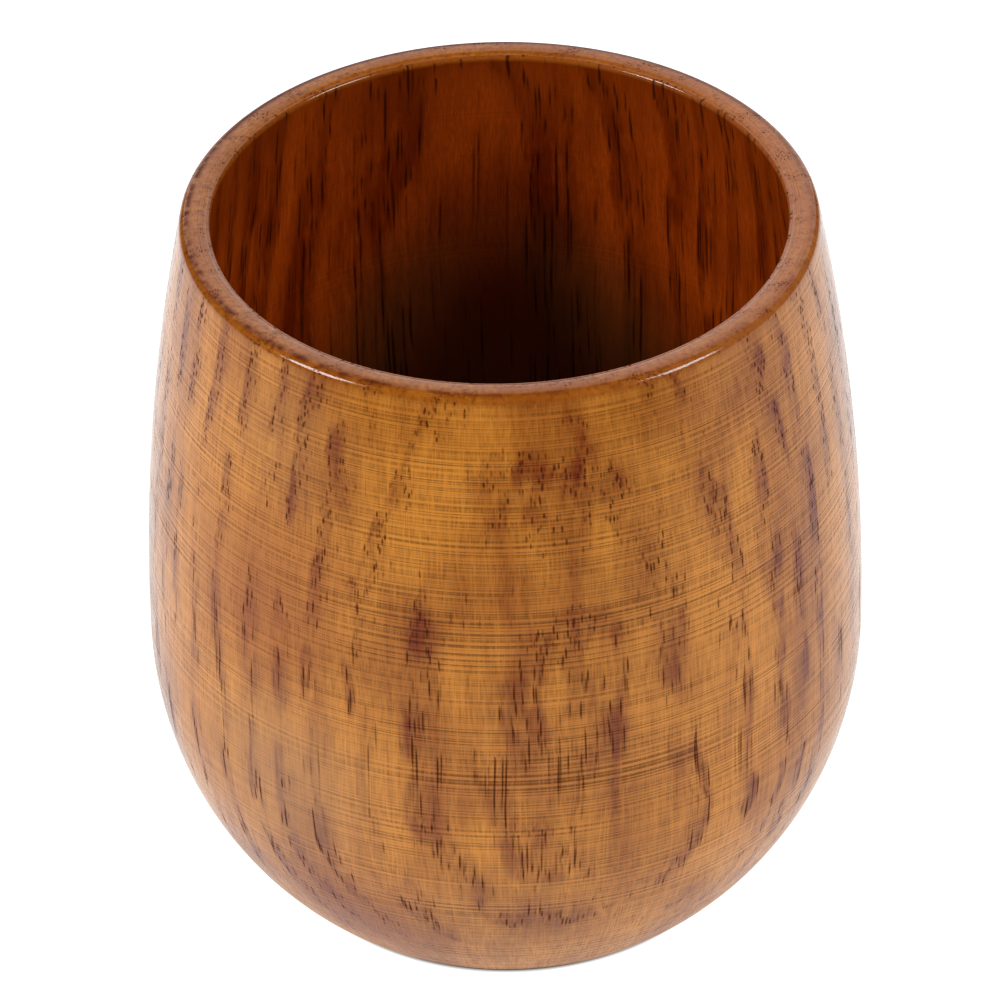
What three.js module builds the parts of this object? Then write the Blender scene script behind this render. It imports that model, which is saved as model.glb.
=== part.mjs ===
// A handleless wooden cup: one block of wood turned hollow on a lathe, sealed with a coat of
// lacquer inside and another outside. Millimetres, +Z up, the foot stands on z = 0 and the
// turning axis is Z. Every outline point is (radius, height).
import * as THREE from "three";

// The turned wood
const HEIGHT = 85.5; // foot to rim
const RIM_RADIUS = 34.5; // outside, where the wall's line meets the rim's plane
const BELLY_RADIUS = 40; // outside, at the widest
const BELLY_HEIGHT = 32; // of the widest section above the foot
const FOOT_RADIUS = 25.8; // where the bowl's line meets the foot's plane
const LIP_WALL = 3; // wall at the rim
const BELLY_WALL = 4.4; // wall at the widest
const FLOOR_HEIGHT = 7.5; // of the inside floor above the foot

// Worked edges
const RIM_ROUND_IN = 1.3; // round-over on the rim's outside edge: how far it reaches inwards
const RIM_ROUND_DOWN = 0.7; // and how far down the wall
const LIP_ROUND = 0.4; // eased edge on the rim's inside
const FOOT_ROUND = 1.4; // eased edge round the foot
const DISH_RADIUS = 19.5; // hollow turned under the foot, which leaves a ring to stand on
const DISH_DEPTH = 1.2;
const FLOOR_FULLNESS = 0.66; // how square the inside corner is: 0.55 is round, 1 is square

// The lacquer
const LACQUER = 0.2; // built-up film on the wood

// Facets
const TURN_STEPS = 60;
const DISH_STEPS = 3;
const BOWL_STEPS = 8;
const WALL_STEPS = 5;
const EDGE_STEPS = 3;
const FLOOR_STEPS = 9;

const point = (radius, height) => new THREE.Vector2(radius, height);

/** A side wall: a parabola that stands upright at the belly and leans in to the rim's plane. */
function sideWall(bellyRadius, rimRadius, fromHeight, toHeight) {
  const lean = (bellyRadius - rimRadius) / (HEIGHT - BELLY_HEIGHT) ** 2;
  const points = [];
  for (let i = 0; i <= WALL_STEPS; i++) {
    const height = THREE.MathUtils.lerp(fromHeight, toHeight, i / WALL_STEPS);
    points.push(point(bellyRadius - lean * (height - BELLY_HEIGHT) ** 2, height));
  }
  return points;
}

/** An eased edge that leaves one line and meets the next, rounding off their corner. */
function easedEdge(from, corner, to) {
  return new THREE.QuadraticBezierCurve(from, corner, to).getPoints(EDGE_STEPS);
}

/** The bowl's outside: an ellipse centred on the axis at belly height and cut off by the foot. */
function bowlOutside() {
  const slope = Math.sqrt(1 - (FOOT_RADIUS / BELLY_RADIUS) ** 2);
  const depth = BELLY_HEIGHT / slope;
  const start = -Math.asin((BELLY_HEIGHT - FOOT_ROUND) / depth);
  return new THREE.EllipseCurve(0, BELLY_HEIGHT, BELLY_RADIUS, depth, start, 0).getPoints(BOWL_STEPS);
}

/** The hollow under the foot: a shallow arc, level at the axis. */
function dish() {
  const arcRadius = (DISH_RADIUS ** 2 + DISH_DEPTH ** 2) / (2 * DISH_DEPTH);
  const edge = Math.asin(DISH_RADIUS / arcRadius);
  const up = Math.PI / 2;
  const points = new THREE.EllipseCurve(
    0,
    DISH_DEPTH - arcRadius,
    arcRadius,
    arcRadius,
    up,
    up - edge,
    true,
  ).getPoints(DISH_STEPS);
  points[0].x = 0;
  points[DISH_STEPS].y = 0;
  return points;
}

/** The outside that is lacquered, from the foot's edge up and over to the inner edge of the rim. */
function outsideOutline() {
  const bowl = bowlOutside();
  const wall = sideWall(BELLY_RADIUS, RIM_RADIUS, BELLY_HEIGHT, HEIGHT - RIM_ROUND_DOWN);
  const roundOver = easedEdge(
    wall.at(-1),
    point(RIM_RADIUS, HEIGHT),
    point(RIM_RADIUS - RIM_ROUND_IN, HEIGHT),
  );
  const rimEnd = point(RIM_RADIUS - LIP_WALL + LIP_ROUND, HEIGHT);
  return [...bowl, ...wall.slice(1), ...roundOver.slice(1), rimEnd];
}

/** The inside, from the inner edge of the rim down to the middle of the floor. */
function insideOutline() {
  const rimRadius = RIM_RADIUS - LIP_WALL;
  const bellyRadius = BELLY_RADIUS - BELLY_WALL;
  const wall = sideWall(bellyRadius, rimRadius, HEIGHT - LIP_ROUND, BELLY_HEIGHT);
  const lip = easedEdge(point(rimRadius + LIP_ROUND, HEIGHT), point(rimRadius, HEIGHT), wall[0]);
  const floor = new THREE.CubicBezierCurve(
    wall.at(-1),
    point(bellyRadius, BELLY_HEIGHT - FLOOR_FULLNESS * (BELLY_HEIGHT - FLOOR_HEIGHT)),
    point(FLOOR_FULLNESS * bellyRadius, FLOOR_HEIGHT),
    point(0, FLOOR_HEIGHT),
  ).getPoints(FLOOR_STEPS);
  return [...lip, ...wall.slice(1), ...floor.slice(1)];
}

/** The outline moved off the wood by an even thickness. */
function offsetOutline(points, thickness) {
  const last = points.length - 1;
  const normalOf = (from, to) => point(to.y - from.y, from.x - to.x).normalize();
  return points.map((here, i) => {
    const before = i > 0 ? normalOf(points[i - 1], here) : normalOf(here, points[1]);
    // Past the axis the outline goes on as its own mirror image.
    const mirrored = point(-points[last - 1].x, points[last - 1].y);
    const after = normalOf(here, i < last ? points[i + 1] : mirrored);
    const miter = before.clone().add(after).normalize();
    return here.clone().addScaledVector(miter, thickness / miter.dot(after));
  });
}

/** A solid of revolution about Z from an outline that runs anticlockwise in (radius, height). */
function turned(name, outline, material) {
  const geometry = new THREE.LatheGeometry(outline, TURN_STEPS);
  geometry.rotateX(Math.PI / 2);
  const mesh = new THREE.Mesh(geometry, material);
  mesh.name = name;
  return mesh;
}

/** A film between the wood's outline and its own face, which starts and ends on the axis or closes. */
function film(name, wood, face, material) {
  const outline = [...wood.toReversed(), ...face];
  if (wood.at(-1).x > 0) outline.push(wood.at(-1));
  return turned(name, outline, material);
}

const bareWood = new THREE.MeshStandardMaterial({ color: 0xb07a3e, roughness: 0.6, metalness: 0 });
const outerFinish = new THREE.MeshStandardMaterial({ color: 0xae7131, roughness: 0.35, metalness: 0 });
const innerFinish = new THREE.MeshStandardMaterial({ color: 0x6e3208, roughness: 0.2, metalness: 0 });

const outside = outsideOutline();
const inside = insideOutline();
const skin = [...outside, ...inside.slice(1)];
const coat = offsetOutline(skin, LACQUER);
const rimEnd = outside.length - 1;
const footEdge = easedEdge(point(FOOT_RADIUS - FOOT_ROUND, 0), point(FOOT_RADIUS, 0), skin[0]);

const cup = new THREE.Group();
cup.add(
  turned("turned_body", [...dish(), ...footEdge, ...skin.slice(1)], bareWood),
  film("outer_lacquer", skin.slice(0, rimEnd + 1), coat.slice(0, rimEnd + 1), outerFinish),
  film("inner_lacquer", skin.slice(rimEnd), coat.slice(rimEnd), innerFinish),
);

export default cup;
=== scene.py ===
# A handleless cup turned from one block of ring-porous hardwood and lacquered inside and out.
from functools import partial
from math import asin, cos, pi, radians, sin, sqrt

import bpy
from mathutils import Matrix, Vector


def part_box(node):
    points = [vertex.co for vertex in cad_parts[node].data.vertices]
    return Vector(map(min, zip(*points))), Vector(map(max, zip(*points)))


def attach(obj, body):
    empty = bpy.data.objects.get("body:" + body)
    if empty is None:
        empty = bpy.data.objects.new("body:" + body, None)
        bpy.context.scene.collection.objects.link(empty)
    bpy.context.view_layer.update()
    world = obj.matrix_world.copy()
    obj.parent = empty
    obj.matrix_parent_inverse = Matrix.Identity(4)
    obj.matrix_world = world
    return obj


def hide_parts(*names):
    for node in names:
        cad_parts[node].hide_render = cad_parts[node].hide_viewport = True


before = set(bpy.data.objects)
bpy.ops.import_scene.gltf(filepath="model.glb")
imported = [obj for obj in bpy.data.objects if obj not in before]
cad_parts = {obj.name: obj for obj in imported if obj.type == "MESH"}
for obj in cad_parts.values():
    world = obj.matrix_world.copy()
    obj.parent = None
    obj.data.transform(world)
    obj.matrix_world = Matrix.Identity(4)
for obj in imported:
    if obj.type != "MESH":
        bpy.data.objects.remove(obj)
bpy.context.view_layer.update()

# The frame is in metres. The cup's own sizes are in millimetres, and MM turns them to metres.
MM = 0.001

# The turned wood
body_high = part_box("turned_body")[1] / MM
coat_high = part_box("outer_lacquer")[1] / MM
HEIGHT = body_high.z
BELLY_RADIUS = body_high.x
LACQUER = coat_high.x - body_high.x
RIM_RADIUS = 34.5
BELLY_HEIGHT = 32.0
FOOT_RADIUS = 25.8
LIP_WALL = 3.0
BELLY_WALL = 4.4
FLOOR_HEIGHT = 7.5
RIM_ROUND_IN = 1.3
RIM_ROUND_DOWN = 0.7
LIP_ROUND = 0.4
FOOT_ROUND = 1.4
DISH_RADIUS = 19.5
DISH_DEPTH = 1.2
FLOOR_FULLNESS = 0.66

# The rim is crowned: its flat falls this much towards the inside.
RIM_CROWN = 0.28

# The wood under a coat lies this much below the coat's back, so that no two faces coincide.
COAT_GAP = 0.02

# The marks of the lathe. The ridges fade to a share of their depth at the rim and inside.
LINE_PITCH = 0.72
RIDGE_DEPTH = 0.02
RIM_RIDGES = 0.3
INNER_RIDGES = 0.3
SMOOTH_LIP = 10.0
SEED = 7

# How finely the surfaces are cut up
FACE_STEP = 0.2
HIDDEN_STEP = 4.0
TURN_STEPS = 168
WELD_DISTANCE = 2e-6
SHARP_ANGLE = 50

# How the block was cut: the growth rings lie almost flat to the front of the cup. Their edges
# are depths along the line that crosses them, measured from the cup's axis.
RING_AZIMUTH = 7.7
RING_EDGES = (
    -40, -36.5, -32.6, -28.4, -25, -21.5, -17, -13, -8.5, -4, 0, 4, 8,
    11.6, 16, 20.4, 24.8, 27.8, 30.7, 34, 37.4, 40,
)
RING_REACH = 44.0
EARLY_BAND = 2.2
EARLY_EDGE = 0.3

# How far the rings and the grain wander, and the size of the waves that they follow
RING_SWAY = 4.0
GRAIN_SWAY = 1.5
SWAY_SIZE = (18, 18, 24)
GRAIN_KINK = 0.15
KINK_SIZE = (2.5, 2.5, 5)

# The vessels, their clusters and the gaps between clusters. The middle of the front has the fewest,
# and near the foot they are sanded to soft smears.
VESSEL_SPACING = 0.4
VESSEL_LENGTH = 8.0
VESSEL_FADE = (0.44, 0.15)
VESSEL_RUNS = (0.4, 0.56)
CLUSTER_SIZE = (2.6, 2.6, 7)
CLUSTER_EDGE = 0.14
HALO_EDGE = 0.2
GAP_SIZE = (9, 9, 13)
GAP_EDGE = (0.03, 0.15)
PLAIN_FRONT = (8, 22)
SIDE_CROWDING = 0.12
PLAIN_FOOT = (5, 17)
SANDED_FOOT = (8, 18)
SANDED_TUBE = 0.2
SANDED_HALO = 1.5

# How far the vessels are drawn out along the bowl, and the least radius at which marks are drawn out
LOW_SHARE = 0.3
LEAST_RADIUS = 20

# The threads of the grain, the clouds and streaks of the stain, and the patches where lines are worn
FIBRE_WIDTH = 0.18
FIBRE_LENGTH = 2.2
CLOUD_SIZE = (8, 8, 18)
STREAK_SIZE = (1.2, 1.2, 60)
WEAR_SIZE = (22, 22, 2)

# Heights at which the tool chattered, and how far its lines reach up or down and to the sides
CHATTER_ZONES = ((57.5, 5, 30), (38.5, 5, 21))

# How strong the lines are: where the tool chattered, where they are worn, the finest ones, and in the
# threads that break them up
CHATTER = (0.1, 0.8)
WORN_LINES = (0.05, 0.6)
FINE_LINES = 1.5
BROKEN_LINES = (0.65, 1.35)

# The end grain of the rim, which starts this far below the top and is darkest along its outer edge. The
# paler grain to the right is painted light, and the edge's darkness at the rear is painted shade
END_GRAIN = "#80420a"
LIT_END_GRAIN = "#8e4e22"
EDGE_STAIN_AND_SHADE = "#542008"
RIM_START = (0.85, 0.55)
PORE_SIZE = (0.6, 0.6, 1.2)
PATCH_SIZE = (1.4, 1.4, 1.4)
EDGE_INSET = 0.5
EDGE_FADE = (0.55, 0.1)
SPECKLE = 0.4

# Where, from the axis, the rim turns pale to the right with painted light, and where its edge turns
# dark:
# with painted shade at the rear and with stain to the left
LIT_RIGHT = (5, 30)
SHADED_REAR = (5, 25)
DARK_LEFT = (12, -20)

# How much the marks darken the wood. The lathe lines also lighten it between them, a painted highlight
# on the ridges
CLOUD_STAIN = (-0.1, 0.6)
HALO_STAIN = 0.62
MEAN_SHADE = 0.34
FIBRE_SHADE = 0.95
LINE_SHADE = 1.25
SHADED = 0.45
VESSEL_SHADE = 0.8

# How much the lacquer shines, how much less it does on each mark, and the least share that is left
FULL_GLOSS = 0.92
VESSEL_DULLING = 0.8
LINE_DULLING = 0.6
FIBRE_DULLING = 0.5
DULL_FOOT = (2, 22)
LEAST_GLOSS = 0.35

# How deep the lacquer dips into the marks, and how far below the top the dips fade out
DENT_DEPTH = 0.018
FIBRE_DENT = 0.2
VESSEL_DENT = 0.5
DENT_FADE = (0.8, 10)

# The photograph's view
IMAGE_PIXELS = 1001
FOCAL_PIXELS = 6724
SENSOR_MM = 36
CAMERA_DISTANCE = 754.8
CAMERA_ELEVATION = 36.58
CAMERA_ROLL = 1.0
CUP_CENTRE_PIXEL = (504.7, 528.45)

MATH = "ShaderNodeMath"
VECTOR_MATH = "ShaderNodeVectorMath"
RANGE = "ShaderNodeMapRange"
MAPPING = "ShaderNodeMapping"
NOISE = "ShaderNodeTexNoise"
MIX = "ShaderNodeMix"


def add(tree, kind, *values, named=None, **settings):
    """Adds a node with its settings. Inputs, in order or by name, take values, sockets or nodes."""
    node = tree.nodes.new(kind)
    for name, value in settings.items():
        setattr(node, name, value)
    enabled = [socket for socket in node.inputs if socket.enabled]
    pairs = list(zip(enabled, values)) + [(node.inputs[name], v) for name, v in (named or {}).items()]
    for socket, value in pairs:
        if isinstance(value, bpy.types.Node):
            value = next(output for output in value.outputs if output.enabled)
        if isinstance(value, bpy.types.NodeSocket):
            tree.links.new(value, socket)
        elif value is not None:
            socket.default_value = value
    return node


def colour(hex_code):
    """An sRGB hex colour as linear RGBA."""
    channels = [int(hex_code[i:i + 2], 16) / 255 for i in (1, 3, 5)]
    linear = [c / 12.92 if c <= 0.04045 else ((c + 0.055) / 1.055) ** 2.4 for c in channels]
    return (*linear, 1)


# Outlines of (radius, height), in millimetres, which run anticlockwise


def spread(start, end, step):
    """Numbers from start to end, about a step apart."""
    count = max(1, round(abs(end - start) / step))
    return [start + (end - start) * i / count for i in range(count + 1)]


def eased_edge(start, corner, end, steps=8):
    """A rounded edge that leaves one line and meets the next."""
    shares = spread(0, 1, 1 / steps)
    return [start * (1 - t) ** 2 + corner * 2 * t * (1 - t) + end * t ** 2 for t in shares]


def side_wall(belly_radius, rim_radius, heights):
    """A wall that stands upright at the belly and leans in along a parabola to the rim."""
    lean = (belly_radius - rim_radius) / (HEIGHT - BELLY_HEIGHT) ** 2
    return [Vector((belly_radius - lean * (z - BELLY_HEIGHT) ** 2, z)) for z in heights]


def bowl(step):
    """The outside below the belly: an ellipse that the foot cuts off."""
    depth = BELLY_HEIGHT / sqrt(1 - (FOOT_RADIUS / BELLY_RADIUS) ** 2)
    start = -asin((BELLY_HEIGHT - FOOT_ROUND) / depth)
    turns = spread(start, 0, step / BELLY_RADIUS)
    return [Vector((BELLY_RADIUS * cos(t), BELLY_HEIGHT + depth * sin(t))) for t in turns]


def outside(step):
    """From the foot's edge up and over the rim to its inner edge."""
    heights = spread(BELLY_HEIGHT, HEIGHT - RIM_ROUND_DOWN, step)
    wall = side_wall(BELLY_RADIUS, RIM_RADIUS, heights)
    round_end = Vector((RIM_RADIUS - RIM_ROUND_IN, HEIGHT))
    round_over = eased_edge(wall[-1], Vector((RIM_RADIUS, HEIGHT)), round_end, 16)
    rim_end = Vector((RIM_RADIUS - LIP_WALL + LIP_ROUND, HEIGHT - RIM_CROWN))
    crown = eased_edge(round_end, Vector((rim_end.x + LIP_ROUND, HEIGHT)), rim_end)
    return bowl(step) + wall[1:] + round_over[1:] + crown[1:]


def inside(step):
    """From the rim's inner edge down to the middle of the floor."""
    rim_radius = RIM_RADIUS - LIP_WALL
    belly_radius = BELLY_RADIUS - BELLY_WALL
    rim_height = HEIGHT - RIM_CROWN
    heights = spread(rim_height - LIP_ROUND, BELLY_HEIGHT, step)
    wall = side_wall(belly_radius, rim_radius, heights)
    lip_start = Vector((rim_radius + LIP_ROUND, rim_height))
    lip = eased_edge(lip_start, Vector((rim_radius, rim_height)), wall[0])
    upper = Vector((belly_radius, BELLY_HEIGHT - FLOOR_FULLNESS * (BELLY_HEIGHT - FLOOR_HEIGHT)))
    lower = Vector((FLOOR_FULLNESS * belly_radius, FLOOR_HEIGHT))
    middle = Vector((0, FLOOR_HEIGHT))
    floor = [
        wall[-1] * (1 - t) ** 3 + upper * 3 * t * (1 - t) ** 2
        + lower * 3 * t ** 2 * (1 - t) + middle * t ** 3
        for t in spread(0, 1, step / belly_radius)
    ]
    return lip + wall[1:] + floor[1:]


def underside(step):
    """From the middle of the hollow under the foot out to the start of the bowl."""
    arc_radius = (DISH_RADIUS ** 2 + DISH_DEPTH ** 2) / (2 * DISH_DEPTH)
    dish = [
        Vector((r, DISH_DEPTH - arc_radius + sqrt(arc_radius ** 2 - r ** 2)))
        for r in spread(0, DISH_RADIUS, step)
    ]
    ring_end = Vector((FOOT_RADIUS - FOOT_ROUND, 0))
    edge = eased_edge(ring_end, Vector((FOOT_RADIUS, 0)), bowl(step)[0])
    return dish + edge


def outward(points):
    """The direction out of the wood at each point of an outline."""
    last = len(points) - 1
    normals = []
    for i in range(len(points)):
        along = (points[min(i + 1, last)] - points[max(i - 1, 0)]).normalized()
        normals.append(Vector((along.y, -along.x)))
    for i in (0, last):
        if points[i].x == 0:
            normals[i] = Vector((0, 1 if normals[i].y > 0 else -1))
    return normals


def moved_out(points, distance):
    """The outline moved off the wood."""
    return [p + n * distance for p, n in zip(points, outward(points))]


def lathe_tree():
    """Turns an outline into a surface of revolution, with the fine ridges that the tool left."""
    tree = bpy.data.node_groups.new("lathe", "GeometryNodeTree")
    for name, kind in (
        ("Outline", "Geometry"), ("Turn Steps", "Int"), ("Ridge Pitch", "Float"),
        ("Ridge Depth", "Float"), ("Seed", "Int"), ("Material", "Material"),
    ):
        tree.interface.new_socket(name, in_out="INPUT", socket_type="NodeSocket" + kind)
    tree.interface.new_socket("Surface", in_out="OUTPUT", socket_type="NodeSocketGeometry")
    node = partial(add, tree)
    given = node("NodeGroupInput").outputs

    # A grid with a row for each point of the outline and a column for each step of the turn
    rows = node("GeometryNodeAttributeDomainSize", given["Outline"])
    columns = node(MATH, given["Turn Steps"], 1, operation="ADD")
    grid = node("GeometryNodeMeshGrid", 1.0, 1.0, rows, columns)
    index = node("GeometryNodeInputIndex")
    half_on = node(MATH, index, 0.5, operation="ADD")
    row = node(MATH, node(MATH, half_on, columns, operation="DIVIDE"), operation="FLOOR")
    column = node(MATH, index, node(MATH, row, columns, operation="MULTIPLY"), operation="SUBTRACT")

    sample = "GeometryNodeSampleIndex"
    attribute = "GeometryNodeInputNamedAttribute"
    position = node("GeometryNodeInputPosition")
    point = node(sample, given["Outline"], position, row, data_type="FLOAT_VECTOR")
    normal = node(attribute, "outward", data_type="FLOAT_VECTOR")
    normal = node(sample, given["Outline"], normal, row, data_type="FLOAT_VECTOR")
    along = node(sample, given["Outline"], node(attribute, "along"), row)
    ridged = node(sample, given["Outline"], node(attribute, "ridged"), row)

    # Ridges: an uneven wave along the outline, cut into the face
    turns = node(MATH, along, given["Ridge Pitch"], operation="DIVIDE")
    turns = node(MATH, turns, given["Seed"], operation="ADD")
    wave = node(NOISE, turns, 2.0, 0.0, noise_dimensions="1D")
    cut = node(MATH, wave, ridged, operation="MULTIPLY")
    cut = node(MATH, cut, given["Ridge Depth"], operation="MULTIPLY")
    cut = node(VECTOR_MATH, normal, cut, operation="SCALE")
    worked = node("ShaderNodeSeparateXYZ", node(VECTOR_MATH, point, cut, operation="SUBTRACT"))
    share = node(MATH, column, given["Turn Steps"], operation="DIVIDE")
    angle = node(MATH, share, -2 * pi, operation="MULTIPLY")
    place = node(
        "ShaderNodeCombineXYZ",
        node(MATH, worked, node(MATH, angle, operation="COSINE"), operation="MULTIPLY"),
        node(MATH, worked, node(MATH, angle, operation="SINE"), operation="MULTIPLY"),
        worked.outputs["Z"],
    )

    surface = node("GeometryNodeSetPosition", grid, None, place)
    surface = node("GeometryNodeStoreNamedAttribute", surface, None, "along", along)
    surface = node("GeometryNodeMergeByDistance", surface, named={"Distance": WELD_DISTANCE})
    surface = node("GeometryNodeSetShadeSmooth", surface)
    edge_angle = node("GeometryNodeInputMeshEdgeAngle")
    corner = node("FunctionNodeCompare", edge_angle, radians(SHARP_ANGLE), operation="GREATER_THAN")
    surface = node("GeometryNodeSetShadeSmooth", surface, corner, False, domain="EDGE")
    surface = node("GeometryNodeRealizeInstances", surface)
    surface = node("GeometryNodeSetMaterial", surface, None, given["Material"])
    node("NodeGroupOutput", surface)
    return tree


def turned_piece(name, outline, ridged, material, tree):
    """An outline run through the lathe tree and kept as a plain mesh.

    ridged says, at each point, what share of their depth the ridges have there.
    """
    mesh = bpy.data.meshes.new(name)
    edges = [(i, i + 1) for i in range(len(outline) - 1)]
    mesh.from_pydata([(r * MM, 0, z * MM) for r, z in outline], edges, [])
    along = [0.0]
    for here, there in zip(outline, outline[1:]):
        along.append(along[-1] + (there - here).length)
    directions = [c for n in outward(outline) for c in (n.x, 0, n.y)]
    mesh.attributes.new("outward", "FLOAT_VECTOR", "POINT").data.foreach_set("vector", directions)
    mesh.attributes.new("along", "FLOAT", "POINT").data.foreach_set("value", along)
    mesh.attributes.new("ridged", "FLOAT", "POINT").data.foreach_set("value", ridged)
    piece = bpy.data.objects.new(name, mesh)
    bpy.context.scene.collection.objects.link(piece)
    lathe = piece.modifiers.new("lathe", "NODES")
    lathe.node_group = tree
    values = {
        "Turn Steps": TURN_STEPS,
        "Ridge Pitch": LINE_PITCH,
        "Ridge Depth": RIDGE_DEPTH * MM,
        "Seed": SEED,
        "Material": material,
    }
    for socket in tree.interface.items_tree:
        if socket.name in values:
            lathe[socket.identifier] = values[socket.name]
    evaluated = piece.evaluated_get(bpy.context.evaluated_depsgraph_get())
    piece.data = bpy.data.meshes.new_from_object(evaluated)
    piece.data.name = name
    piece.modifiers.remove(lathe)
    bpy.data.meshes.remove(mesh)
    return piece


def per_mm(*sizes):
    """How many patches of these sizes go into a millimetre, along each direction."""
    return tuple(1 / size for size in sizes)


def block_directions(node, place, grain_tilt):
    """The block's directions in millimetres: across the front, through the rings and up the grain.

    Gives them as cut, as the rings sway and as the grain wanders.
    """
    turn = (radians(grain_tilt), 0, pi - radians(RING_AZIMUTH))
    cut = node(MAPPING, place, None, turn, (1 / MM,) * 3)
    sway = node(NOISE, node(MAPPING, cut, None, None, per_mm(*SWAY_SIZE)), 1.0, 2.0).outputs["Color"]
    sway = node(VECTOR_MATH, sway, (0.5, 0.5, 0.5), operation="SUBTRACT")
    kink = node(NOISE, node(MAPPING, cut, None, None, per_mm(*KINK_SIZE)), 1.0, 1.0).outputs["Color"]
    kink = node(VECTOR_MATH, kink, (0.5, 0.5, 0.5), operation="SUBTRACT")
    ringed = node(VECTOR_MATH, sway, (RING_SWAY, RING_SWAY, 0), cut, operation="MULTIPLY_ADD")
    grain = node(VECTOR_MATH, sway, (GRAIN_SWAY, GRAIN_SWAY, 0), cut, operation="MULTIPLY_ADD")
    grain = node(VECTOR_MATH, kink, (GRAIN_KINK, GRAIN_KINK, 0), grain, operation="MULTIPLY_ADD")
    return cut, ringed, grain


def earlywood(node, ringed, early_band):
    """1 in the bands of open vessels behind the edges of the growth rings, 0 between them."""
    depth = node("ShaderNodeSeparateXYZ", ringed).outputs["Y"]
    early = node("ShaderNodeFloatCurve", 1.0, node(RANGE, depth, -RING_REACH, RING_REACH))
    points = early.mapping.curves[0].points
    points[1].location = (1, 0)
    for edge in RING_EDGES:
        for beyond, amount in ((0, 0), (EARLY_EDGE, 1), (early_band, 0)):
            points.new((edge + beyond + RING_REACH) / (2 * RING_REACH), amount)
    for p in points:
        p.handle_type = "VECTOR"
    early.mapping.update()
    return early


def drawn_out(node, grain, radius, belly_radius, share):
    """The grain with its distances from the belly's radius cut to a share.

    Marks then run further down a wall that leans: all the way at 0.
    """
    to_belly = node(MATH, radius, LEAST_RADIUS, operation="MAXIMUM")
    to_belly = node(MATH, belly_radius, to_belly, operation="DIVIDE")
    left = node(MATH, 1, to_belly, operation="SUBTRACT")
    scale = node(MATH, left, share, to_belly, operation="MULTIPLY_ADD")
    return node(VECTOR_MATH, grain, scale, operation="SCALE")


def vessels(
    node, cut, ringed, grain, radius, height, belly_radius,
    early_band, crowding, vessel_size, vessel_length, vessel_share,
):
    """Dark tubes along the grain, which come in clusters, and the deeper stain round the clusters."""
    spacing = VESSEL_SPACING * vessel_size
    # A tube shows as a dash where the wall leans in and as a long line where it stands upright.
    share = node(RANGE, height, BELLY_HEIGHT - 1, BELLY_HEIGHT + 1, LOW_SHARE, vessel_share)
    tubes = drawn_out(node, grain, radius, belly_radius, share)
    cells = node(
        "ShaderNodeTexVoronoi", tubes, 1 / spacing, named={"Randomness": 1.0}, voronoi_dimensions="2D"
    )
    odds = node("ShaderNodeSeparateColor", cells.outputs["Color"])
    tube = node(RANGE, cells, *VESSEL_FADE, interpolation_type="SMOOTHSTEP")
    runs = node(MAPPING, grain, None, None, per_mm(spacing, spacing, vessel_length))
    runs = node(NOISE, runs, 0.7, 1.0)
    tube = node(MATH, tube, node(RANGE, runs, *VESSEL_RUNS), operation="MULTIPLY")

    early = earlywood(node, ringed, early_band)
    gaps = node(NOISE, node(MAPPING, cut, None, None, per_mm(*GAP_SIZE)), 1.0, 1.0)
    across = node(MATH, node("ShaderNodeSeparateXYZ", cut), operation="ABSOLUTE")
    gaps = node(MATH, gaps, node(RANGE, across, *PLAIN_FRONT, 0, SIDE_CROWDING), operation="ADD")
    apart = node(RANGE, gaps, *[crowding + more for more in GAP_EDGE])
    early = node(MATH, early, apart, operation="MULTIPLY")
    early = node(MATH, early, node(RANGE, height, *PLAIN_FOOT), operation="MULTIPLY")
    crowd = node(NOISE, node(MAPPING, cut, None, None, per_mm(*CLUSTER_SIZE)), 1.0, 2.0)
    cluster = node(RANGE, crowd, crowding, crowding + CLUSTER_EDGE)
    cluster = node(MATH, early, cluster, operation="MULTIPLY")
    halo = node(RANGE, crowd, crowding, crowding + HALO_EDGE)
    halo = node(MATH, early, halo, operation="MULTIPLY")
    wanted = node(MATH, cluster, 1.7, -0.1, operation="MULTIPLY_ADD")
    chosen = node(RANGE, node(MATH, wanted, odds, operation="SUBTRACT"), -0.3, 0.2)
    tube = node(MATH, tube, node(RANGE, height, *SANDED_FOOT, SANDED_TUBE, 1), operation="MULTIPLY")
    halo = node(MATH, halo, node(RANGE, height, *SANDED_FOOT, SANDED_HALO, 1), operation="MULTIPLY")
    return node(MATH, tube, chosen, operation="MULTIPLY"), halo


def lathe_lines(node, cut, height, fibre):
    """Fine lines round the cup, strongest where the tool chattered. Swings about 0."""
    # Above 0 the lines darken the wood, as stain in the grooves; below 0 they lighten it, a painted
    # highlight along the ridges.
    along = node("ShaderNodeAttribute", attribute_name="along").outputs["Fac"]
    turns = node(MATH, node(MATH, along, LINE_PITCH, operation="DIVIDE"), SEED, operation="ADD")
    coarse = node(RANGE, node(NOISE, turns, 2.0, 0.0, noise_dimensions="1D"), 0.4, 0.6)
    coarse = node(MATH, coarse, 0.5, operation="SUBTRACT")
    worn = node(NOISE, node(MAPPING, cut, None, None, per_mm(*WEAR_SIZE)), 1.0, 1.0)
    worn = node(RANGE, worn, 0.35, 0.65, *WORN_LINES)
    across = node(MATH, node("ShaderNodeSeparateXYZ", cut), operation="ABSOLUTE")
    for middle, reach, half_width in CHATTER_ZONES:
        away = node(MATH, node(MATH, height, middle, operation="SUBTRACT"), operation="ABSOLUTE")
        strength = node(RANGE, across, half_width, half_width / 3, *CHATTER)
        worn = node(MATH, worn, node(RANGE, away, reach, 0, 0, strength), operation="ADD")
    fine = node(NOISE, turns, 4.5, 1.0, noise_dimensions="1D")
    fine = node(MATH, fine, 0.5, operation="SUBTRACT")
    coarse = node(MATH, coarse, worn, operation="MULTIPLY")
    lines = node(MATH, fine, FINE_LINES, coarse, operation="MULTIPLY_ADD")
    return node(MATH, lines, node(RANGE, fibre, -0.2, 0.2, *BROKEN_LINES), operation="MULTIPLY")


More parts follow.
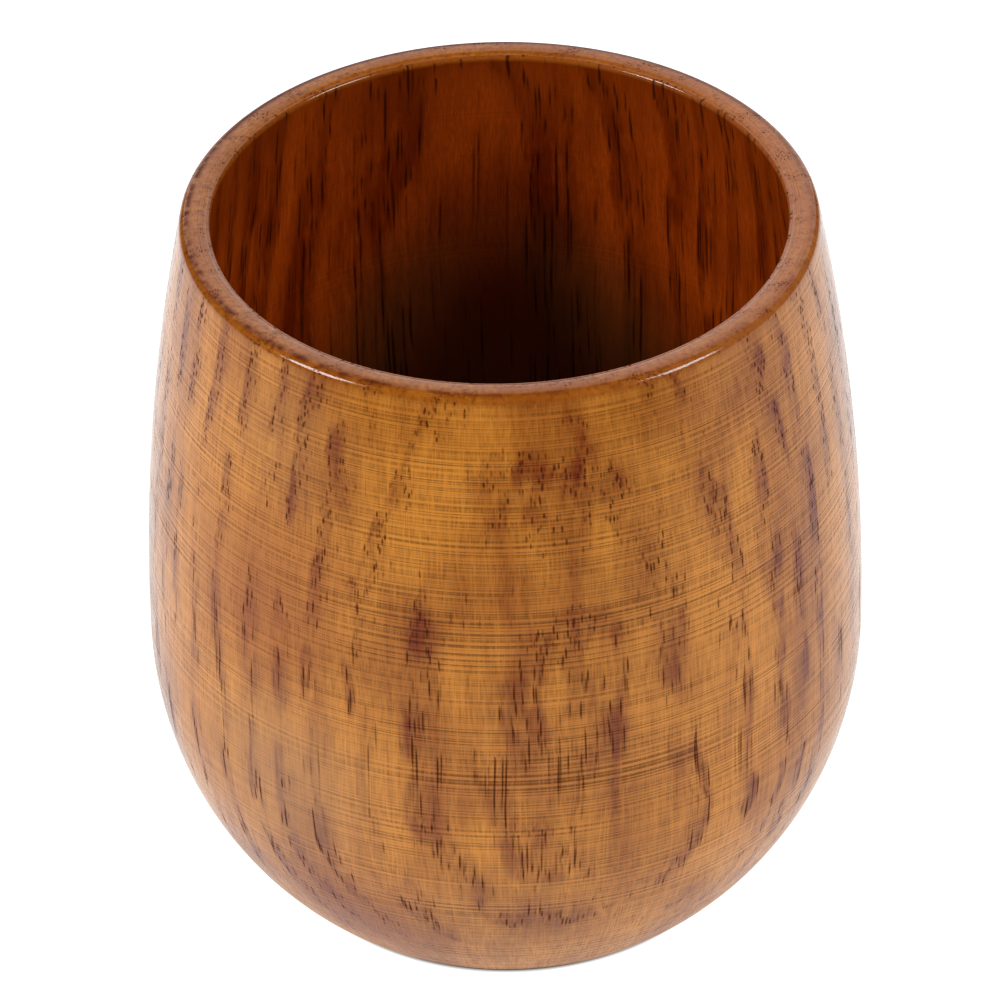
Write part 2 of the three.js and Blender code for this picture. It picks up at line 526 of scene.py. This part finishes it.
def fibres(node, grain):
    """Fine light and dark threads along the grain. Swings about 0."""
    short = node(MAPPING, grain, None, None, per_mm(FIBRE_WIDTH, FIBRE_WIDTH, FIBRE_LENGTH))
    long = node(MAPPING, grain, None, None, per_mm(FIBRE_WIDTH, FIBRE_WIDTH, 5 * FIBRE_LENGTH))
    both = node(MATH, node(NOISE, short, 1.0, 1.0), node(NOISE, long, 1.0, 1.0), operation="ADD")
    return node(MATH, both, 1.0, operation="SUBTRACT")


def rim_paint(node, place, cut, radius, height, wood):
    """The wood with the rim's end grain on it, and how dark the rim's outer edge is at each place.

    The end grain is porous, and paler to the right, where the paleness is painted light. Its edge is
    stained darkest to the left, and at the rear it is darkened with painted shade.
    """
    parts = node("ShaderNodeSeparateXYZ", place)
    rim = node(RANGE, height, *[HEIGHT - below for below in RIM_START])
    # Painted light: the end grain is paler to the right.
    lit_to_right = node(RANGE, parts, *[x * MM for x in LIT_RIGHT])
    pores = node(NOISE, node(MAPPING, cut, None, None, per_mm(*PORE_SIZE)), 1.0, 3.0)
    end_grain = node(MIX, lit_to_right, colour(END_GRAIN), colour(LIT_END_GRAIN), data_type="RGBA")
    porous = node(RANGE, pores, 0.35, 0.65, 0.55, 1)
    wood = node(MIX, node(MATH, rim, porous, operation="MULTIPLY"), wood, end_grain, data_type="RGBA")

    patches = node(NOISE, node(MAPPING, cut, None, None, per_mm(*PATCH_SIZE)), 1.0, 3.0)
    # Painted shade: the outer edge is darker at the rear.
    rear_shade = node(RANGE, parts.outputs["Y"], *[y * MM for y in SHADED_REAR], 0, 0.2)
    patches = node(MATH, patches, rear_shade, operation="ADD")
    to_left = node(RANGE, parts, *[x * MM for x in DARK_LEFT], 0.4, 1)
    strength = node(MATH, rear_shade, 2, to_left, operation="MULTIPLY_ADD", use_clamp=True)
    from_edge = node(MATH, radius, RIM_RADIUS - EDGE_INSET, operation="SUBTRACT")
    from_edge = node(MATH, from_edge, operation="ABSOLUTE")
    edge = node(MATH, node(RANGE, from_edge, *EDGE_FADE), rim, operation="MULTIPLY")
    edge = node(MATH, edge, node(RANGE, patches, 0.34, 0.58), operation="MULTIPLY")
    edge = node(MATH, edge, strength, operation="MULTIPLY")
    # Stain along the outer edge, with painted shade at the rear.
    wood = node(MIX, edge, wood, colour(EDGE_STAIN_AND_SHADE), data_type="RGBA")
    speckle = node(MATH, rim, node(RANGE, pores, 0.58, 0.72, 0, SPECKLE), operation="MULTIPLY")
    return node(MIX, speckle, wood, colour(EDGE_STAIN_AND_SHADE), data_type="RGBA"), edge


def wood_material(
    name, light, dark, vessel, roughness, film=1.0, belly_radius=BELLY_RADIUS, grain_tilt=1.5,
    early_band=EARLY_BAND, crowding=0.385, vessel_size=1.0, vessel_length=VESSEL_LENGTH,
    vessel_share=2.0, lathe_marks=1.0, streaks=0.5, top=None, blotches=(),
):
    """Ring-porous hardwood under a film of lacquer.

    The stain goes from light to dark in clouds, in streaks and round the vessels. The fibres and the
    lathe lines darken it where stain sits in them, and the lathe lines also lighten it between, a
    painted highlight along their ridges. film is 1 for a full coat, and roughness is the coat's.
    crowding is lower where the vessels are denser. top is a colour under the rim, with its reach in
    millimetres and its strength; inside the cup it is a painted shade under the rim. Each blotch is a
    place, a reach, a colour and a strength.
    """
    material = bpy.data.materials.new(name)
    material.use_nodes = True
    tree = material.node_tree
    tree.nodes.clear()
    node = partial(add, tree)

    place = node("ShaderNodeTexCoord").outputs["Object"]
    height = node(MATH, node("ShaderNodeSeparateXYZ", place).outputs["Z"], 1 / MM, operation="MULTIPLY")
    from_axis = node(VECTOR_MATH, place, (1 / MM, 1 / MM, 0), operation="MULTIPLY")
    radius = node(VECTOR_MATH, from_axis, operation="LENGTH").outputs["Value"]
    cut, ringed, grain = block_directions(node, place, grain_tilt)
    fleck, halo = vessels(
        node, cut, ringed, grain, radius, height, belly_radius,
        early_band, crowding, vessel_size, vessel_length, vessel_share,
    )
    fibre = fibres(node, drawn_out(node, grain, radius, belly_radius, 0))
    line = lathe_lines(node, cut, height, fibre)

    clouds = node(NOISE, node(MAPPING, cut, None, None, per_mm(*CLOUD_SIZE)), 1.0, 3.0)
    clouds = node(RANGE, clouds, 0.32, 0.68, *CLOUD_STAIN)
    streak = node(NOISE, node(MAPPING, ringed, None, None, per_mm(*STREAK_SIZE)), 1.0, 2.0)
    streak = node(MATH, streak, 0.5, operation="SUBTRACT")
    stain = node(MATH, streak, streaks, clouds, operation="MULTIPLY_ADD")
    stain = node(MATH, halo, HALO_STAIN, stain, operation="MULTIPLY_ADD", use_clamp=True)
    wood = node(MIX, stain, colour(light), colour(dark), data_type="RGBA")
    # Fibres and lathe lines darken the wood where stain sits in them; the lathe lines also lighten it
    # between, a painted highlight.
    shade = node(MATH, fibre, FIBRE_SHADE, MEAN_SHADE, operation="MULTIPLY_ADD")
    shade = node(MATH, line, LINE_SHADE * lathe_marks, shade, operation="MULTIPLY_ADD", use_clamp=True)
    shaded = node(VECTOR_MATH, wood, SHADED, operation="SCALE")
    wood = node(MIX, shade, wood, shaded, data_type="RGBA")
    for spot, reach, tint, strength in blotches:
        away = node(VECTOR_MATH, place, Vector(spot) * MM, operation="DISTANCE").outputs["Value"]
        amount = node(RANGE, away, reach * MM, 0, 0, strength, interpolation_type="SMOOTHSTEP")
        wood = node(MIX, amount, wood, colour(tint), data_type="RGBA")
    if top:
        tint, reach, strength = top
        amount = node(RANGE, height, HEIGHT - reach, HEIGHT, 0, strength)
        wood = node(MIX, amount, wood, colour(tint), data_type="RGBA")
    wood, edge = rim_paint(node, place, cut, radius, height, wood)
    amount = node(MATH, fleck, VESSEL_SHADE, operation="MULTIPLY")
    wood = node(MIX, amount, wood, colour(vessel), data_type="RGBA")

    # The lacquer is thin over the vessels, the fibres and the lathe lines, and shines less there. It is
    # also thin towards the foot and on the rim's dark edge.
    gloss = node(MATH, fleck, -VESSEL_DULLING * film, FULL_GLOSS * film, operation="MULTIPLY_ADD")
    gloss = node(MATH, line, -LINE_DULLING * lathe_marks * film, gloss, operation="MULTIPLY_ADD")
    gloss = node(MATH, fibre, -FIBRE_DULLING * film, gloss, operation="MULTIPLY_ADD", use_clamp=True)
    gloss = node(MATH, gloss, node(RANGE, height, *DULL_FOOT, LEAST_GLOSS, 1), operation="MULTIPLY")
    gloss = node(MATH, gloss, node(RANGE, edge, 0, 1, 1, LEAST_GLOSS), operation="MULTIPLY")

    # It dips into the lathe lines, the fibres and the vessels, and flows smooth over the rim.
    dents = node(MATH, fibre, FIBRE_DENT, operation="MULTIPLY")
    dents = node(MATH, line, lathe_marks, dents, operation="MULTIPLY_ADD")
    dents = node(MATH, fleck, VESSEL_DENT, dents, operation="MULTIPLY_ADD")
    below_rim = node(RANGE, height, *[HEIGHT - below for below in DENT_FADE], 0, -1)
    dents = node(MATH, dents, below_rim, operation="MULTIPLY")
    bump = node("ShaderNodeBump", 1.0, DENT_DEPTH * MM, named={"Height": dents})
    shader = node("ShaderNodeBsdfPrincipled", named={
        "Base Color": wood,
        "Roughness": 0.6,
        "Specular IOR Level": 0.0,
        "Normal": bump,
        "Coat Normal": bump,
        "Coat Weight": gloss,
        "Coat Roughness": roughness,
        "Coat IOR": 1.4,
    })
    node("ShaderNodeOutputMaterial", shader)
    return material


# The cup
lathe = lathe_tree()

# Lacquered hardwood gives the eye a warm satin brown with dark flecks and a silky sheen of fine lines.
outer_wood = wood_material(
    "lacquered hardwood", "#c57d2a", "#78320a", "#3c1208", roughness=0.12,
    top=("#8a4608", 9, 0.15),
    blotches=(
        # Painted sheen: a paler, greyer patch low on the left front.
        ((-24, -31, 33), 18, "#c8a27a", 0.25),
        ((-27, -29, 57), 17, "#8a4612", 0.6),
        ((-16, -31, 13), 15, "#7a3a10", 0.8),
        # Painted sheen: a paler patch high on the left, under the rim.
        ((-23, -27, 77), 13, "#c89458", 0.15),
    ),
)

# Stained hardwood under gloss lacquer gives a deep red-brown that falls to black at the floor. The
# darker band under the rim is painted shade, and the blotch paints a duller, yellower tone where the
# rear wall lies deep in shade.
inner_wood = wood_material(
    "stained hardwood in gloss lacquer", "#a24008", "#6a2002", "#240a03", roughness=0.12,
    belly_radius=BELLY_RADIUS - BELLY_WALL, grain_tilt=-3, early_band=3.2, crowding=0.24,
    vessel_size=1.4, vessel_length=5, vessel_share=0.9, lathe_marks=0.15, streaks=1.2,
    # Painted shade: the wall darkens under the rim.
    top=("#6a2804", 14, 0.55),
    # Painted shade tone: duller and yellower deep down at the rear.
    blotches=(((0, 35, 38), 29, "#7a5a2a", 0.9),),
)

# Bare hardwood gives a paler, dull face under the foot.
bare_wood = wood_material("bare hardwood", "#c08844", "#8e5622", "#3a1d12", roughness=0.5, film=0.15)

outer_back = outside(HIDDEN_STEP)
outer_face = moved_out(outside(FACE_STEP), LACQUER)
outer_outline = outer_back[::-1] + outer_face + [outer_back[-1]]
fade = [min(1.0, max(RIM_RIDGES, (HEIGHT - p.y) / SMOOTH_LIP)) for p in outer_face]
ridges = [0.0] * len(outer_back) + fade + [0.0]
outer_coat = turned_piece("outer_coat", outer_outline, ridges, outer_wood, lathe)

inner_back = inside(HIDDEN_STEP)
inner_face = moved_out(inside(2 * FACE_STEP), LACQUER)
inner_outline = inner_back[::-1] + inner_face
ridges = [0.0] * len(inner_back) + [INNER_RIDGES] * len(inner_face)
inner_coat = turned_piece("inner_coat", inner_outline, ridges, inner_wood, lathe)

skin = outside(HIDDEN_STEP) + inside(HIDDEN_STEP)[1:]
foot = underside(2 * FACE_STEP)
block_outline = foot + moved_out(skin, -COAT_GAP)
ridges = [1.0] * len(foot) + [0.0] * len(skin)
block = turned_piece("wood_block", block_outline, ridges, bare_wood, lathe)

for piece, cad_node, slot in (
    (outer_coat, "outer_lacquer", "outer_finish"),
    (inner_coat, "inner_lacquer", "inner_finish"),
    (block, "turned_body", "bare_wood"),
):
    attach(piece, "root")
    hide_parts(cad_node)

# The floor. White paper that glows, a painted light from below, gives a plain white ground with faint
# shadows. Its glow stops at the foot, a painted shadow that draws a thin dark line under it. It is dim
# towards the camera, where the front of the cup mirrors it.
FLOOR_REACH = 0.9
DIM_FRONT = (-0.24, -0.07)
DIM_GLOW = 0.14
GLOW = 1.08
BRIGHT_REAR = (0.0, 0.08)
REAR_GLOW = 0.2
FOOT_SHADE = (0.2, 0.8)
floor_mesh = bpy.data.meshes.new("floor")
corners = [(-1, -1), (1, -1), (1, 1), (-1, 1)]
floor_mesh.from_pydata([(x * FLOOR_REACH, y * FLOOR_REACH, 0) for x, y in corners], [], [(0, 1, 2, 3)])
floor = bpy.data.objects.new("floor", floor_mesh)
bpy.context.scene.collection.objects.link(floor)
paper = bpy.data.materials.new("glowing white paper")
paper.use_nodes = True
paper.node_tree.nodes.clear()
node = partial(add, paper.node_tree)
place = node("ShaderNodeTexCoord").outputs["Object"]
depth = node("ShaderNodeSeparateXYZ", place).outputs["Y"]
glow = node(RANGE, depth, *DIM_FRONT, DIM_GLOW, GLOW, interpolation_type="SMOOTHSTEP")
glow = node(MATH, glow, node(RANGE, depth, *BRIGHT_REAR, 0, REAR_GLOW), operation="ADD")
from_axis = node(VECTOR_MATH, place, operation="LENGTH").outputs["Value"]
foot_shadow_radii = [(FOOT_RADIUS + beyond) * MM for beyond in FOOT_SHADE]
# Painted shadow: the glow stops just round the foot.
glow = node(MATH, glow, node(RANGE, from_axis, *foot_shadow_radii), operation="MULTIPLY")
shader = node("ShaderNodeBsdfPrincipled", named={
    "Base Color": colour("#404040"),
    "Roughness": 0.9,
    "Specular IOR Level": 0.0,
    "Emission Color": (1, 1, 1, 1),
    "Emission Strength": glow,
})
node("ShaderNodeOutputMaterial", shader)
floor_mesh.materials.append(paper)


def softbox(name, place, size, power, mirrored=True):
    """A square lamp that faces the middle of the cup. The lacquer shows its glint if it is mirrored."""
    data = bpy.data.lights.new(name, "AREA")
    data.size = size
    data.energy = power
    lamp = bpy.data.objects.new(name, data)
    lamp.location = place
    lamp.visible_glossy = mirrored
    aim = Vector((0, 0, HEIGHT * MM / 2)) - lamp.location
    lamp.rotation_euler = aim.to_track_quat("-Z", "Y").to_euler()
    bpy.context.scene.collection.objects.link(lamp)


softbox("left softbox", (-0.745, -0.29, 0.64), 0.35, 8.6)
softbox("right softbox", (0.74, -0.3, 0.64), 0.35, 6.7)
softbox("front fill", (0, -0.97, 0.3), 0.5, 2.8, mirrored=False)
softbox("backdrop", (0, 1.2, 0.75), 1.6, 12)

world = bpy.data.worlds.new("studio")
world.use_nodes = True
world.node_tree.nodes["Background"].inputs["Color"].default_value = (1, 1, 1, 1)
world.node_tree.nodes["Background"].inputs["Strength"].default_value = 0.09
bpy.context.scene.world = world
bpy.context.scene.view_settings.view_transform = "Standard"

# The camera
lens = bpy.data.cameras.new("camera")
lens.sensor_width = SENSOR_MM
lens.lens = FOCAL_PIXELS * SENSOR_MM / IMAGE_PIXELS
camera = bpy.data.objects.new("camera", lens)
bpy.context.scene.collection.objects.link(camera)
elevation = radians(CAMERA_ELEVATION)
roll = radians(CAMERA_ROLL)
back = Vector((0, -cos(elevation), sin(elevation)))
level_right = Vector((1, 0, 0))
level_up = back.cross(level_right)
right = level_right * cos(roll) - level_up * sin(roll)
up = level_right * sin(roll) + level_up * cos(roll)
pixel = CAMERA_DISTANCE / FOCAL_PIXELS
aside = (IMAGE_PIXELS / 2 - CUP_CENTRE_PIXEL[0]) * pixel
above = (CUP_CENTRE_PIXEL[1] - IMAGE_PIXELS / 2) * pixel
centre = Vector((0, 0, HEIGHT / 2))
eye = (centre + back * CAMERA_DISTANCE + right * aside + up * above) * MM
camera.matrix_world = Matrix((right, up, back)).transposed().to_4x4()
camera.location = eye
bpy.context.scene.camera = camera
